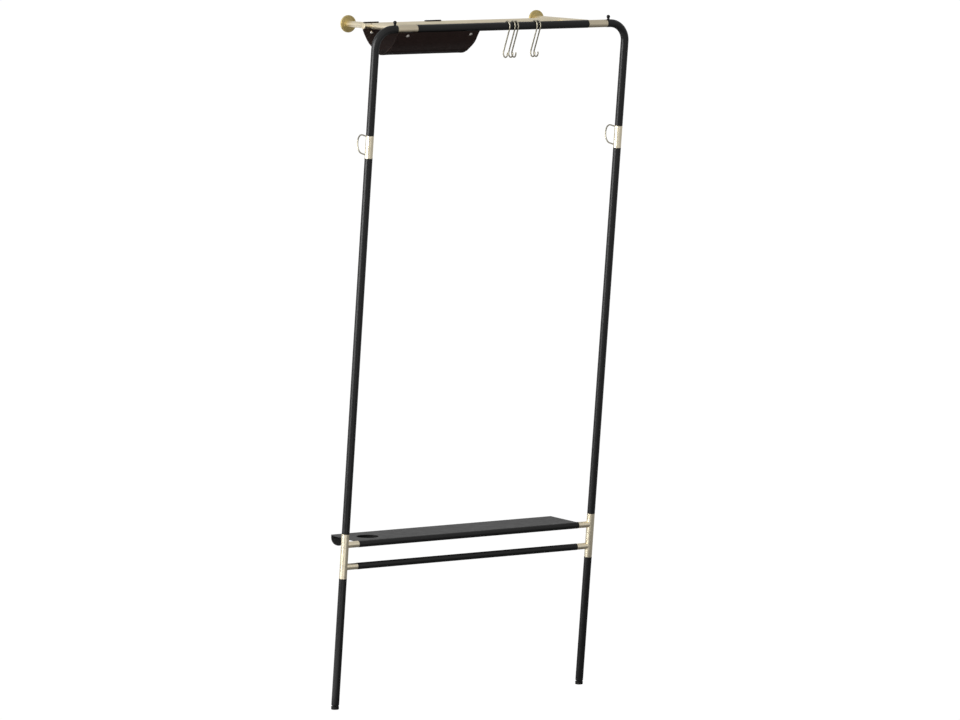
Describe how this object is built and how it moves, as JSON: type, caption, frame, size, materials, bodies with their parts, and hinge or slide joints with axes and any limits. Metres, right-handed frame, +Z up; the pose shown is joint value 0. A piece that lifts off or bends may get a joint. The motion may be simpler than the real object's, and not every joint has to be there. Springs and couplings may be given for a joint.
{
  "type": "valet stand",
  "caption": "Leaning valet stand fixed to a wall: black tube frame with brass fittings, leather tray, sliding wire hooks, hanging loops, and a shelf with an umbrella hole.",
  "frame": {"origin": "on the floor, at the middle of the bounding box's bottom", "axes": "+Z up, +Y toward the wall, +X to the right seen from the room"},
  "size_m": [0.822, 0.3363, 1.919],
  "materials": {
    "black_tube": "satin powder coat",
    "brass": "satin, finely brushed",
    "shelf_black": "matt powder coat",
    "tray_leather": "dark brown grained leather",
    "rivet": "polished",
    "lug_steel": "black",
    "screw_steel": "black oxide",
    "stop_black": "satin",
    "stem_steel": "black oxide",
    "insert_plastic": "moulded",
    "pad_rubber": "moulded"
  },
  "bodies": {
    "stand_frame": {"left_lower_leg": "black_tube", "left_middle_leg": "black_tube", "left_upper_leg": "black_tube", "left_ring_sleeve": "brass", "left_hanging_loop": "brass", "left_lower_fitting": "brass", "left_top_tee": "brass", "left_wall_arm": "brass", "left_wall_flange": "brass", "left_foot_insert": "insert_plastic", "left_hanger_stop": "stop_black", "right_lower_leg": "black_tube", "right_middle_leg": "black_tube", "right_upper_leg": "black_tube", "right_ring_sleeve": "brass", "right_hanging_loop": "brass", "right_lower_fitting": "brass", "right_top_tee": "brass", "right_wall_arm": "brass", "right_wall_flange": "brass", "right_foot_insert": "insert_plastic", "right_hanger_stop": "stop_black", "top_bar_tube": "black_tube", "rear_bar_tube": "brass", "rear_bar_stub": "brass", "shelf_front_rail": "black_tube", "lower_rail": "black_tube", "joint_grub_screws": "screw_steel", "shelf_panel": "shelf_black", "umbrella_collar": "shelf_black", "tray_sling": "tray_leather", "tray_straps": "tray_leather", "tray_lugs": "lug_steel", "tray_rivets": "rivet"},
    "hook_1": {"hook_1": "brass"},
    "hook_2": {"hook_2": "brass"},
    "hook_3": {"hook_3": "brass"},
    "hook_4": {"hook_4": "brass"},
    "hook_5": {"hook_5": "brass"},
    "left_foot_stem": {"left_foot_stem": "stem_steel"},
    "left_foot_pad": {"left_foot_pad": "pad_rubber"},
    "right_foot_stem": {"right_foot_stem": "stem_steel"},
    "right_foot_pad": {"right_foot_pad": "pad_rubber"}
  },
  "joints": [
    {"name": "hook_1_swing", "type": "hinge", "parent": "stand_frame", "child": "hook_1", "pos_m": [0.0145, -0.15285, 1.895], "axis": [1, 0, 0], "range_deg": [-75, 75]},
    {"name": "hook_2_swing", "type": "hinge", "parent": "stand_frame", "child": "hook_2", "pos_m": [0.0315, -0.15285, 1.895], "axis": [1, 0, 0], "range_deg": [-75, 75]},
    {"name": "hook_3_swing", "type": "hinge", "parent": "stand_frame", "child": "hook_3", "pos_m": [0.0417, -0.15285, 1.895], "axis": [1, 0, 0], "range_deg": [-75, 75]},
    {"name": "hook_4_swing", "type": "hinge", "parent": "stand_frame", "child": "hook_4", "pos_m": [0.1024, -0.15285, 1.895], "axis": [1, 0, 0], "range_deg": [-75, 75]},
    {"name": "hook_5_swing", "type": "hinge", "parent": "stand_frame", "child": "hook_5", "pos_m": [0.113, -0.15285, 1.895], "axis": [1, 0, 0], "range_deg": [-75, 75]},
    {"name": "left_foot_screw", "type": "slide", "parent": "stand_frame", "child": "left_foot_stem", "axis": [0, 0.1203, -0.9927], "range_m": [0, 0.008]},
    {"name": "left_foot_tilt", "type": "hinge", "parent": "left_foot_stem", "child": "left_foot_pad", "pos_m": [-0.4, 0.07608, 0.0055], "axis": [1, 0, 0], "range_deg": [-5, 5]},
    {"name": "right_foot_screw", "type": "slide", "parent": "stand_frame", "child": "right_foot_stem", "axis": [0, 0.1203, -0.9927], "range_m": [0, 0.008]},
    {"name": "right_foot_tilt", "type": "hinge", "parent": "right_foot_stem", "child": "right_foot_pad", "pos_m": [0.4, 0.07608, 0.0055], "axis": [1, 0, 0], "range_deg": [-5, 5]}
  ]
}
